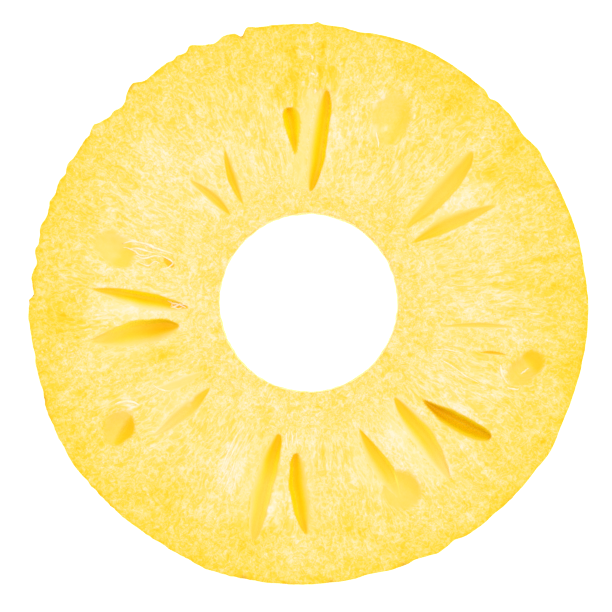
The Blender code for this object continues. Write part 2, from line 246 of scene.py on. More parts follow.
# Flesh paler or more golden than the rest: place across the face, reach outwards and across, shade.
SHADE_PATCHES = (
    (-23, 19, 9, 9, 0.06), (-25, 25, 3, 2.2, 0.09), (-16, 24, 3, 2, 0.09), (-17.5, 17, 4.5, 1.5, 0.08),
    (-27, 14, 3, 2, 0.06), (-32, 5.5, 5, 1.3, 0.09), (-31, -2, 6, 1.1, 0.12), (-20, 3, 3, 2, 0.06),
    (-12, -28, 4, 1.8, 0.08), (0, -23, 3, 2, 0.08), (-5, -34, 3, 2, 0.10), (-12, -16, 3, 2, 0.05),
    (14, -23, 2.5, 2, 0.17), (17.5, -28, 3.5, 1.5, 0.11), (23.5, -33, 3, 1.6, 0.08),
    (9, -29, 3, 2, 0.08), (26, 17.5, 5, 1.3, 0.13), (30, 12, 3, 1.5, 0.05), (29, 0, 5, 2.2, 0.05),
    (34, -6, 3, 1.5, 0.10), (22, -12, 3, 2, 0.05), (30, -16, 3, 1.5, 0.05), (7, 28, 5, 1.3, 0.06),
    (8, 20, 3, 2, 0.05), (-3.4, 25, 3, 1.0, 0.08), (-9, 23, 3, 2, 0.06), (-35, -10, 3, 2, 0.08),
    (-25, -16, 3, 2, 0.05), (-26, -25, 3, 2, 0.08), (-2, -41, 2, 2, 0.08), (-1, -17, 2, 2, 0.05),
    (-6.2, -34.5, 2, 1.0, 0.10), (25, 34, 3, 2, -0.14), (28, 38, 2, 2, -0.06), (17, 39, 2, 2, -0.09),
    (19, 36, 2, 2, -0.06), (31, 22, 3, 2, -0.14), (34, 25, 2, 2, -0.12), (36, 20, 2, 2, -0.06),
    (43, 15, 2, 2, -0.07), (41, 3, 3, 2, -0.08), (43, -11, 2.5, 3, -0.11), (44, -5, 2, 2, -0.04),
    (-3, 43, 3, 2, -0.05), (-3.6, 37, 4, 1.5, -0.05), (3, 40, 2, 2, -0.08), (-11, 41, 2, 2, -0.06),
    (-42, 17, 2, 3, -0.07), (-44, 13, 2, 2, -0.04), (-45, -8, 2, 2, -0.03), (-41, -2, 3, 2, -0.19),
    (-23, -34, 2, 2, -0.09), (-10, -38, 3, 2, -0.13), (-24, -9, 2.5, 1.6, -0.16),
    (-18, -12, 2, 1.5, -0.15), (16, -42, 2, 2, -0.06), (30, -31, 2, 2, -0.05), (13, 14, 2, 1.5, -0.02),
    (22, 11, 2, 1.5, -0.13), (-13, 22, 2, 1.5, -0.08), (39, 6.95, 6, 0.35, -0.17),
    (42, 2.6, 5, 0.3, -0.16), (40, -0.4, 5, 0.3, -0.09), (42.5, 8.2, 3, 0.3, -0.10),
    (-2.3, 35.8, 3.4, 0.5, -0.34), (-2.65, 41.8, 2.6, 0.5, -0.34), (-5.3, 35.3, 1.5, 0.6, -0.18),
    (2.3, 40.4, 3.6, 0.45, -0.28), (3.0, 36.5, 1.5, 1.5, -0.12), (-1.4, 37.5, 1.8, 1.2, -0.10),
    (-4.2, 34.2, 1.5, 1.2, -0.10), (-4.4, 41, 2.5, 0.9, -0.10), (23.6, 32.9, 1.3, 0.6, -0.25),
    (33.9, 26.1, 1.2, 0.5, -0.25), (30.3, 21.1, 1.5, 0.6, -0.22), (-31.2, 8.4, 1.4, 0.5, -0.18),
    (-27.2, 7.2, 1.5, 0.5, -0.12), (-24.2, 6.6, 1.2, 0.6, -0.20), (-29.5, 10.4, 4.5, 0.5, 0.16),
    (-30, -16.7, 0.7, 2.4, 0.20), (-13.4, -25.8, 4.5, 0.8, 0.15), (32.2, -12, 0.5, 1.8, 0.10),
    (26, -23.8, 3, 1.2, 0.15), (31, -25.5, 2.5, 1, -0.12), (25.5, -27.6, 2.5, 1, -0.12),
    (25, -17.2, 4, 0.8, 0.12), (-40, -4.8, 2.5, 2, -0.13), (-38, -9.4, 2.2, 1.2, 0.13),
    (-16, -1.5, 1.2, 3, 0.07), (-30.5, -13.6, 1.4, 0.8, -0.13), (0, -39.6, 1.6, 1.6, 0.10),
    (-17, -35, 2.5, 2, 0.09), (8, -37.5, 1.4, 2.2, -0.09), (18, -33.5, 3, 1.5, 0.07),
    (31, -9.2, 2.5, 0.7, -0.16), (39.6, -14, 1.6, 1.8, 0.08), (33.5, 3.2, 4, 1.2, -0.12),
    (41.6, 9, 3, 0.7, 0.12), (33, 16, 2, 2, 0.08), (28.5, 26, 1.5, 1.5, 0.12), (20.6, 34, 2, 2, -0.10),
    (18.6, 26, 2.5, 1.4, -0.09), (11.5, 25.2, 2, 1.1, -0.10), (-30.5, 21.6, 6.5, 0.7, -0.12),
    (-26, 28, 2, 2, 0.09), (-13.5, 14.4, 1, 1, -0.13), (-36, 15, 1.4, 1.6, -0.11),
    (-33, 14.4, 1.4, 1.1, 0.09), (-39, -21.5, 1.5, 2.5, -0.12), (-25, -31.5, 2, 2, -0.10),
    (4.3, 25, 4, 1.2, 0.12), (-26, -8.7, 5, 1.2, -0.10), (29.5, -27.5, 5, 0.9, 0.12),
    (0, -42.5, 1.6, 6, 0.07), (-31, 7, 3, 1.5, 0.08), (16, 12, 2.5, 1.0, -0.10),
    (-10.2, -37, 2.5, 0.8, -0.12), (-6.5, -38.5, 2, 1.2, -0.10), (-6, -30, 1.2, 1, -0.10),
    (28.5, -17.8, 1.3, 1.3, 0.10), (32.5, -20.3, 1.3, 1.3, 0.12), (28.2, -25, 1.5, 1, -0.10),
    (-5.5, -16.6, 1.4, 2, 0.09), (1, -26, 2, 1, 0.09), (26.5, -1.0, 2.5, 1.3, 0.10),
    (24, 13.5, 2.5, 0.9, 0.08),
)

# Blobs of whitish pulp that stand a little above their surroundings: place across the face, reach
# outwards and across, how pale.
PULP_BLOBS = (
    (12.3, 34.9, 1.3, 0.9, 0.28), (11.2, 33.1, 1.3, 0.7, 0.25), (10.9, 28.5, 1.5, 0.8, 0.28),
    (12.8, 29.1, 0.7, 0.5, 0.22), (16.1, 36.0, 0.5, 1.1, 0.18), (17.4, 31.0, 1.2, 0.5, 0.16),
    (15.4, 26.4, 1.2, 0.6, 0.10), (0.5, 43.6, 0.9, 0.7, 0.22), (0.3, 38.1, 0.7, 0.5, 0.16),
    (1.4, 38.0, 0.7, 0.4, 0.14), (-5.4, 36.9, 0.7, 0.5, 0.16), (-19.4, -16.2, 0.7, 0.4, 0.22),
    (-19.9, -17.1, 0.5, 0.4, 0.18), (32.6, -11.6, 1.0, 0.7, 0.14), (-29.6, -17.2, 0.9, 0.7, 0.14),
    (-6.3, -34.6, 1.1, 0.8, 0.14),
)

# Smooth flesh, such as the walls that part two pockets, where the grain is faint and runs lengthwise:
# place across the face, reach outwards and across, how smooth, how pale.
SMOOTH_PLACES = (
    (27.5, 19.0, 8.0, 1.3, 0.7, 0.10), (0.6, 27.5, 7.0, 0.9, 0.75, 0.08),
    (-28.0, -0.6, 9.0, 1.0, 0.85, 0.22), (-4.2, -31.0, 6.5, 1.1, 0.6, 0.02),
    (21.0, -24.0, 8.0, 1.3, 0.75, 0.13), (25.5, -29.5, 5.0, 1.6, 0.5, 0.08),
    (-12.5, -28.5, 6.0, 1.6, 0.5, 0.10), (-10.8, 24.0, 5.0, 1.2, 0.5, 0.05),
    (12.5, -27.0, 4.0, 1.2, 0.5, 0.08), (-33.0, 9.0, 5.0, 2.6, 0.5, 0.02),
    (-26.0, -13.5, 6.0, 1.2, 0.5, 0.06), (25.0, 9.0, 6.0, 1.2, 0.4, 0.04),
    (30.0, -12.5, 6.0, 1.2, 0.4, 0.05), (4.2, 31.0, 6.0, 1.0, 0.5, 0.03),
    (-6.5, 31.0, 6.0, 1.0, 0.5, 0.05),
)

# Places round the rim where a trace of the brown rind was left: bearing, half-width in degrees.
RIND_TRACES = ((200, 0.8), (25.2, 0.7), (290, 0.8), (274.5, 0.7), (256.7, 0.7), (104, 0.6), (129.5, 0.6))

# The four sides of the slice, by number.
TOP, RIM, UNDERSIDE, CORE_WALL = 0, 1, 2, 3

# How the surface is divided into points: the distance between them on the top, the walls and the
# underside, the share of it that lies between two rows, the roundness of the four edges and its rows,
# how much wider than its mouth a slit gathers points for its walls, and the skirt that they come from.
TOP_SPACING = 0.40
WALL_SPACING = 0.60
UNDER_SPACING = 0.80
ROW_SHARE = 0.90
EDGE_ROUND = 0.35
EDGE_ROWS = 4
GATHER = 0.25
SKIRT = 1.8


def section_rows():
    """Rows of points round the slice, in order: out over the top, down the rim, back under, up the core.

    Each row is (share of the core radius, share of the rim radius, offset, height, spacing, face).
    The four edges are quarter circles of the edge's roundness.
    """
    rows = []
    width = RIM_RADIUS - CORE_RADIUS
    turns = (np.arange(EDGE_ROWS) + 1) / (EDGE_ROWS + 1) * math.pi / 2.0

    def across(height, spacing, face):
        for share in np.linspace(0.0, 1.0, int(round(width / (spacing * ROW_SHARE)))):
            rows.append((1.0 - share, share, EDGE_ROUND * (1.0 - 2.0 * share), height, spacing, face))

    def corner(on_rim, from_top, outward, spacing, face):
        for turn in turns if from_top else turns[::-1]:
            offset = outward * EDGE_ROUND * (1.0 - math.sin(turn))
            drop = EDGE_ROUND * (1.0 - math.cos(turn))
            height = FACE_HIGH - drop if face == TOP else FACE_LOW + drop
            rows.append((1.0 - on_rim, on_rim, -offset, height, spacing, face))

    def wall(on_rim, downwards):
        count = int(round((FACE_HIGH - FACE_LOW) / WALL_SPACING)) - 1
        heights = np.linspace(FACE_HIGH - EDGE_ROUND, FACE_LOW + EDGE_ROUND, count)
        for height in heights if downwards else heights[::-1]:
            rows.append((1.0 - on_rim, on_rim, 0.0, height, WALL_SPACING, RIM if on_rim else CORE_WALL))

    across(FACE_HIGH, TOP_SPACING, TOP)
    corner(1.0, True, 1.0, TOP_SPACING, TOP)
    wall(1.0, True)
    corner(1.0, False, 1.0, WALL_SPACING, UNDERSIDE)
    start = len(rows)
    across(FACE_LOW, UNDER_SPACING, UNDERSIDE)
    rows[start:] = rows[start:][::-1]
    corner(0.0, True, -1.0, UNDER_SPACING, UNDERSIDE)
    wall(0.0, False)
    corner(0.0, False, -1.0, TOP_SPACING, TOP)
    return rows


def stitch(first, second, first_phase, second_phase):
    """Triangles between two closed rows of points that lie side by side.

    A walk goes round both rows at once. Each step moves along the row whose next half-way mark comes
    first, and makes one triangle with the point that waits on the other row.
    """
    n, m = len(first), len(second)
    first_marks = (np.arange(n) + first_phase + 0.5) / n
    second_marks = (np.arange(m) + second_phase + 0.5) / m
    marks = np.concatenate([first_marks, second_marks])
    order = np.argsort(marks, kind="stable")
    on_second = (order >= n).astype(int)
    i = np.cumsum(1 - on_second) - (1 - on_second)
    j = np.cumsum(on_second) - on_second
    onward = np.where(on_second == 1, second[(j + 1) % m], first[(i + 1) % n])
    return np.stack([first[i % n], second[j % m], onward], axis=1)


def lay_out_slice():
    """Bearings, radii, heights and faces of all points of the plain slice, and the triangles.

    A row's radius is its shares of the core's and the rim's radius plus its offset, at even bearings.
    """
    rows = section_rows()
    bearing, radius, height, face, triangles, members = [], [], [], [], [], []
    made = 0
    for number, (on_core, on_rim, offset, level, spacing, side) in enumerate(rows):
        about = CORE_RADIUS * on_core + RIM_RADIUS * on_rim
        count = int(round(math.tau * about / spacing))
        phase = 0.5 * (number % 2)
        degrees = (np.arange(count) + phase) * 360.0 / count
        bearing.append(degrees)
        radius.append(CORE_RADIUS * on_core + rim_radius(degrees) * on_rim + offset)
        height.append(np.full(count, level))
        face.append(np.full(count, side))
        members.append((made + np.arange(count), phase))
        made += count
    for (first, first_phase), (second, second_phase) in zip(members, members[1:] + members[:1]):
        triangles.append(stitch(first, second, first_phase, second_phase))
    return (*map(np.concatenate, (bearing, radius, height, face)), np.concatenate(triangles))


def polar(radius, bearing):
    """x and y of a place given by its radius and bearing from the middle of the hole."""
    turn = np.radians(bearing)
    return HOLE_X + radius * np.cos(turn), HOLE_Y + radius * np.sin(turn)


def swell(share, widest, tip_end, heel_end):
    """How full a slit is along its length: (1 - u^2) to the power of that end's roundness.

    u goes from 0 at the widest point to 1 at the tip and at the heel.
    """
    to_tip = share < widest
    away = np.where(to_tip, 1.0 - share / widest, (share - widest) / (1.0 - widest))
    away = np.clip(away, 0.0, 1.0)
    return (1.0 - away * away) ** np.where(to_tip, tip_end, heel_end)


def along_slit(x, y, slit):
    """Where points lie by a slit: its direction and length, their share of it, and their distance aside.

    The slit's middle line is its chord, bowed to the left by bow * 4 * share * (1 - share).
    """
    tip_radius, tip_bearing, heel_radius, heel_bearing = slit[:4]
    bow = slit[7]
    tip_x, tip_y = polar(tip_radius, tip_bearing)
    heel_x, heel_y = polar(heel_radius, heel_bearing)
    length = math.hypot(heel_x - tip_x, heel_y - tip_y)
    out_x, out_y = (heel_x - tip_x) / length, (heel_y - tip_y) / length
    share = ((x - tip_x) * out_x + (y - tip_y) * out_y) / length
    aside = (y - tip_y) * out_x - (x - tip_x) * out_y - bow * 4.0 * share * (1.0 - share)
    return out_x, out_y, length, share, aside


def keep_higher(fields, label, values):
    """Raises a field to the new values wherever they are higher."""
    fields[label] = np.maximum(fields[label], values)


def lay_lining(fields, lining, shade):
    """A lining smoother than what is there already takes its place, with its shade."""
    smoother = lining > fields["lining"]
    fields["shade"] = np.where(smoother, shade, fields["shade"])
    fields["lining"] = np.where(smoother, lining, fields["lining"])


# Form of a slit: how much wider its mouth opens than its named half-width, since the lips are rounded
# off, how far its middle line and its lips waver, in shares of that width, and over what length, and
# the least width beside a lip from which points are gathered.
MOUTH_OPENING = 1.16
MIDDLE_WAVER, MIDDLE_WAVE = 0.12, 3.6
LIP_WAVER, LIP_WAVE = 0.10, 2.8
FINE_WAVER, FINE_WAVE = 0.05, 1.1
LEAST_GATHER = 0.22

# Rounding of its walls: the power by which it grows shallow towards its ends, how far a wall leans in
# at its lip, how soft the lip is on a narrow wall, and how much softer on a wide one, and the depth
# from which a slit's lips and shoulder show in full.
SINK_POWER = 1.4
LIP_LEAN = 0.25
LIP_SOFTNESS, WIDE_SOFTNESS = 0.5, 0.35
FULL_DEPTH = 1.5


def open_slits(x, y, slits, looks, seed, fields):
    """Carries the points of a flat face onto the walls of its slits.

    The deepest line parts a slit into two walls, and the points over its mouth are shared between them
    by the walls' slant heights. At t of the way from a lip to the deepest line a point is in by the
    wall's width * (t + 0.25 w) and down by the depth * (t - s w), where w is sin(2 pi t) / (2 pi), and
    s goes from 0.5 on a narrow wall to 0.85 on a wide one. Points beside the mouth close up to its lips.
    Outside the wider wall the face dips by the shoulder's depth * exp(-(distance / reach)^2).

    Fills the fields: how far each point has sunk, how smooth its lining is, its shade, golden towards
    the deepest line as painted shade, and its brown, partly stain and partly painted shade, how near it is
    to a lip, which gives a painted highlight beside it, the painted fill light, as much as the walls light
    each other there, and whether a slit has taken it.
    Returns the new x and y.
    """
    x, y = x.copy(), y.copy()
    for number, (slit, look) in enumerate(zip(slits, looks)):
        width, depth, widest, _, lean, tip_end, heel_end = slit[4:]
        tip_shade, middle_shade, heel_shade, wall_shade, climb = look[:5]
        tip_stain_and_shade, heel_stain_and_shade, shift, shoulder, shoulder_reach = look[5:]
        out_x, out_y, length, share, aside = along_slit(x, y, slit)
        within = (share > 0.0) & (share < 1.0)
        along = share * length
        aside = aside - MIDDLE_WAVER * width * gradient_noise(along / MIDDLE_WAVE, number * 7.3, 0.5, seed)
        full = np.where(within, swell(share, widest, tip_end, heel_end), 0.0)
        waver = LIP_WAVER * gradient_noise(along / LIP_WAVE, number * 3.7, 2.5, seed)
        waver = waver + FINE_WAVER * gradient_noise(along / FINE_WAVE, number * 5.9, np.sign(aside), seed)
        half = MOUTH_OPENING * width * full * (1.0 + waver)
        from_end = smooth_step(0.0, 1.3, length * np.minimum(share, 1.0 - share))
        mouth = half + (GATHER * half + LEAST_GATHER * np.minimum(1.0, 4.0 * full)) * from_end + 1e-9
        reach = mouth + SKIRT
        free = within & (fields["taken"] < 0.5)
        over = free & (np.abs(aside) < mouth)
        beside = free & ~over & (np.abs(aside) < reach)

        deepest = np.clip(lean + shift * (share - 0.5), -0.8, 0.8)
        down = depth * full ** SINK_POWER
        fall = down / (half + 0.02)
        left, right = np.hypot(1.0 + deepest, fall), np.hypot(1.0 - deepest, fall)
        parting = 2.0 * left / (left + right) - 1.0
        way = np.clip(aside / mouth, -1.0, 1.0)
        on_left = way < parting
        t = np.where(on_left, (way + 1.0) / (parting + 1.0), (1.0 - way) / (1.0 - parting))
        wall = np.where(on_left, 1.0 + deepest, 1.0 - deepest)
        wide = smooth_step(0.45, 1.15, wall)
        wave = np.sin(math.tau * t) / math.tau
        inward = wall * (t + LIP_LEAN * wave)
        on_wall = half * np.where(on_left, inward - 1.0, 1.0 - inward)
        closed_up = half + (np.abs(aside) - mouth) * (reach - half) / (reach - mouth)
        moved = np.where(over, on_wall, np.where(beside, np.sign(aside) * closed_up, aside))
        x = x - out_y * (moved - aside)
        y = y + out_x * (moved - aside)

        softness = LIP_SOFTNESS + WIDE_SOFTNESS * wide
        sink = np.where(over, down * (t - softness * wave), 0.0)
        shallow_side = -1.0 if lean >= 0.0 else 1.0
        from_lip = (moved - shallow_side * half) / shoulder_reach
        soft = np.where(within, np.exp(-from_lip ** 2) * np.sqrt(full), 0.0)
        keep_higher(fields, "sunk", sink)
        fields["sunk"] = fields["sunk"] + shoulder * soft * min(1.0, depth / FULL_DEPTH)

        lined = np.where(over, smooth_step(0.0, 0.06 + 0.12 * wide, t), 0.0) * smooth_step(0.0, 0.25, full)
        # The lining grows golden towards the deepest line: painted shade of the pocket's depth.
        deep_shade = tip_shade + (middle_shade - tip_shade) * smooth_step(0.12, 0.52, share)
        deep_shade = deep_shade + (heel_shade - middle_shade) * smooth_step(0.50, 0.92, share)
        shallow_shade = np.maximum(wall_shade, deep_shade)
        deepness = smooth_step((climb - 0.25) * wide, 0.18 + (climb + 0.08) * wide, t)
        at_lip = 0.15 * wide * (1.0 - smooth_step(0.0, 0.45, t))
        shade = shallow_shade + at_lip + (deep_shade - shallow_shade) * deepness
        shade = np.where(over, shade, wall_shade + 0.14)
        shoulder_lining = np.where(over, 0.0, 0.9 * np.sqrt(soft) * min(1.0, 2.2 * shoulder))
        lay_lining(fields, np.maximum(lined, shoulder_lining), shade)

        # How near a point beside the mouth is to a lip; it paints a highlight on the flesh there.
        lip = np.exp(-((np.abs(moved) - half) / 0.8) ** 2) * np.sqrt(full) * min(1.0, depth / FULL_DEPTH)
        keep_higher(fields, "lip", np.where(beside, lip, 0.0))
        # Brown in the pocket, partly stain and partly painted shade, strongest towards the deepest line.
        stain = tip_stain_and_shade + (heel_stain_and_shade - tip_stain_and_shade) * smooth_step(0.1, 0.6, share)
        keep_higher(fields, "stain", stain * lined * (0.65 + 0.35 * deepness))
        # Painted fill light: where the walls hide the light, the lining takes paler lemon colours.
        slope = fall * (1.0 - softness * np.cos(math.tau * t)) / wall
        in_deep = 0.66 * smooth_step(0.9, 2.2, fall) * smooth_step(0.2, 0.9, t)
        sheltered = np.maximum(0.8 * smooth_step(0.3, 2.2, slope), in_deep)
        sheltered = sheltered * smooth_step(0.0, 0.4, sink) * (0.42 + 0.58 * smooth_step(0.6, 1.9, down))
        keep_higher(fields, "sheltered", np.where(over, sheltered, 0.0))
        keep_higher(fields, "taken", over)
    return x, y


def open_basins(x, y, basins, seed, fields):
    """Sinks the basins by depth * (1 - d^2)^1.3, at d of the way to a basin's wavering lip.

    Towards its darker side a basin is deeper, and more golden as painted shade, with a little painted fill
    light.
    """
    for number, basin in enumerate(basins):
        radius, bearing, length, width, depth, shade, smooth, dark_side, darker = basin
        at_x, at_y = polar(radius, bearing)
        out_x, out_y = math.cos(math.radians(dark_side)), math.sin(math.radians(dark_side))
        out = ((x - at_x) * out_x + (y - at_y) * out_y) / length
        aside = ((y - at_y) * out_x - (x - at_x) * out_y) / width
        lip = 1.0 + 0.24 * gradient_noise(x / 2.9, y / 2.9, number * 5.1, seed)
        away = np.clip(np.hypot(out, aside) / lip, 0.0, 1.0)
        # More golden towards the deeper side: painted shade of its depth.
        dark = darker * smooth_step(0.12, 0.47, out)
        keep_higher(fields, "sunk", depth * (1.0 + 0.8 * dark) * (1.0 - away * away) ** 1.3)
        lay_lining(fields, smooth * (1.0 - smooth_step(0.72 + 0.12 * dark, 1.0, away)), shade * (1.0 - dark))
        # A little painted fill light on the darker side.
        keep_higher(fields, "sheltered", 0.15 * dark * (1.0 - smooth_step(0.8, 1.0, away)))


def new_mesh_object(name, points, triangles, attributes):
    """A mesh object from arrays, in millimetres, with its named values at each point."""
    mesh = bpy.data.meshes.new(name)
    mesh.vertices.add(len(points))
    mesh.vertices.foreach_set("co", (points * MM).astype(np.float32).ravel())
    mesh.loops.add(triangles.size)
    mesh.loops.foreach_set("vertex_index", triangles.astype(np.int32).ravel())
    mesh.polygons.add(len(triangles))
    mesh.polygons.foreach_set("loop_start", np.arange(0, triangles.size, 3, dtype=np.int32))
    mesh.update(calc_edges=True)
    for label, values in attributes.items():
        kind = "FLOAT" if values.ndim == 1 else "FLOAT_VECTOR"
        layer = mesh.attributes.new(label, kind, "POINT")
        field = "value" if kind == "FLOAT" else "vector"
        layer.data.foreach_set(field, values.astype(np.float32).ravel())
    mesh.shade_smooth()
    piece = bpy.data.objects.new(name, mesh)
    bpy.context.scene.collection.objects.link(piece)
    return piece


def spread_over(flat_x, flat_y, places):
    """How near each point is to each place, with the place's values.

    It is exp(-(u^2 + v^2)), where u is the distance outwards and v the distance across, each as a
    share of the place's reach that way.
    """
    for at_x, at_y, reach, across, *values in places:
        away = math.hypot(at_x, at_y)
        u = ((flat_x - at_x) * at_x + (flat_y - at_y) * at_y) / (away * reach)
        v = ((flat_y - at_y) * at_x - (flat_x - at_x) * at_y) / (away * across)
        yield np.exp(-(u * u + v * v)), values


# Shade of the plain flesh, where 0 is deep golden and 1 near white: by the hole, then the stretches
# further out over which it grows more golden, as from, to and by how much. The patches are laid on it.
INNER_SHADE = 0.525
GOLDEN_STRETCHES = ((31.0, 40.0, 0.085), (40.0, 44.5, 0.045), (44.4, 46.2, 0.07))
PATCH_STRENGTH = 1.15


def shade_of_flesh(flat_x, flat_y, out):
    """Shade of the top face before any flecks: the inner shade, less each stretch's share, plus patches."""
    shade = INNER_SHADE
    for start, end, more_golden in GOLDEN_STRETCHES:
        shade = shade - more_golden * smooth_step(start, end, out)
    for near, (amount,) in spread_over(flat_x, flat_y, SHADE_PATCHES):
        shade = shade + PATCH_STRENGTH * amount * near
    return shade


def divide(points, triangles, chosen):
    """Cuts the chosen triangles into four at the middles of their sides, and fits their neighbours to them.

    A neighbour with one side cut becomes two triangles, and one with two sides cut becomes three.
    """
    ends = np.sort(np.stack([triangles, np.roll(triangles, -1, axis=1)], axis=2), axis=2)
    edges, edge_of = np.unique(ends.reshape(-1, 2), axis=0, return_inverse=True)
    edge_of = edge_of.reshape(-1, 3)
    cut = np.zeros(len(edges), bool)
    cut[edge_of[chosen].ravel()] = True
    middle = np.cumsum(cut) - 1 + points.shape[1]
    between = 0.5 * (points[:, edges[cut, 0]] + points[:, edges[cut, 1]])
    cuts = cut[edge_of]
    count = cuts.sum(axis=1)
    after_whole_side = ((~cuts).argmax(axis=1) + 1) % 3
    turned = np.where(count == 1, cuts.argmax(axis=1), np.where(count == 2, after_whole_side, 0))
    order = (turned[:, None] + np.arange(3)) % 3
    a, b, c = np.take_along_axis(triangles, order, axis=1).T
    ab, bc, ca = np.take_along_axis(middle[edge_of], order, axis=1).T
    none, one, two, all_three = (count == k for k in range(4))
    parts = (
        (none, (a, b, c)),
        (one, (a, ab, c)), (one, (ab, b, c)),
        (two, (a, ab, c)), (two, (ab, b, bc)), (two, (ab, bc, c)),
        (all_three, (a, ab, ca)), (all_three, (ab, b, bc)),
        (all_three, (ca, bc, c)), (all_three, (ab, bc, ca)),
    )
    cut_up = [np.stack(corners, axis=1)[which] for which, corners in parts]
    return np.concatenate([points, between], axis=1), np.concatenate(cut_up)


def by_a_slit(x, y, slits, margin):
    """Which points lie over a slit's mouth or within a margin of it."""
    found = np.zeros(x.shape, bool)
    for slit in slits:
        width, _, widest, _, _, tip_end, heel_end = slit[4:]
        length, share, aside = along_slit(x, y, slit)[2:]
        full = swell(np.clip(share, 0.0, 1.0), widest, tip_end, heel_end)
        near = np.abs(aside) < width * full * (1.0 + GATHER) + margin
        found |= near & (share > -margin / length) & (share < 1.0 + margin / length)
    return found


# How far from a slit the triangles are still divided, and the seeds of its waver and the basins'.
FINE_MARGIN = 0.7
POCKET_SEED, CRACK_SEED, BASIN_SEED = 11, 14, 17

# The pulp's bumps, in millimetres: distance from bump to bump and height of the grain, of the clouds in
# it and of the slow swells, how far the fibres are drawn out along the radii and downwards, and how far
# a blob stands up.
GRAIN_SIZE, GRAIN_HEIGHT = 1.25, 0.11
CLOUD_SIZE, CLOUD_HEIGHT = 3.0, 0.05
SLOW_SIZE, SLOW_HEIGHT = 7.0, 0.13
FIBRE_LENGTH, FIBRE_LENGTH_DOWN = 4.5, 2.3
BLOB_HEIGHT = 0.35

# Fray of the rim, in millimetres: distance between its coarse and its fine teeth, how far they reach in
# and how far the edge stands out between them, and how deep the peeling knife and the core cutter left
# their walls uneven.
COARSE_TOOTH, FINE_TOOTH = 2.3, 1.1
FRAY_IN, FRAY_OUT = 0.30, 0.10
WALL_UNEVENNESS = 0.16

# How far the top's shade changes with its grain, clouds and swells, the shade of the underside, the core
# wall and the rim wall, and the most golden that flesh gets outside a lining.
GRAIN_SHADE, CLOUD_SHADE, SLOW_SHADE = 0.085, 0.055, 0.02
UNDER_SHADE, CORE_SHADE, RIM_SHADE = 0.52, 0.54, 0.41
DEEPEST_SHADE = 0.19


def bumps(x, y, z, size, seed):
    """Gradient noise whose bumps lie this many millimetres apart."""
    return gradient_noise(x / size, y / size, z / size, seed)


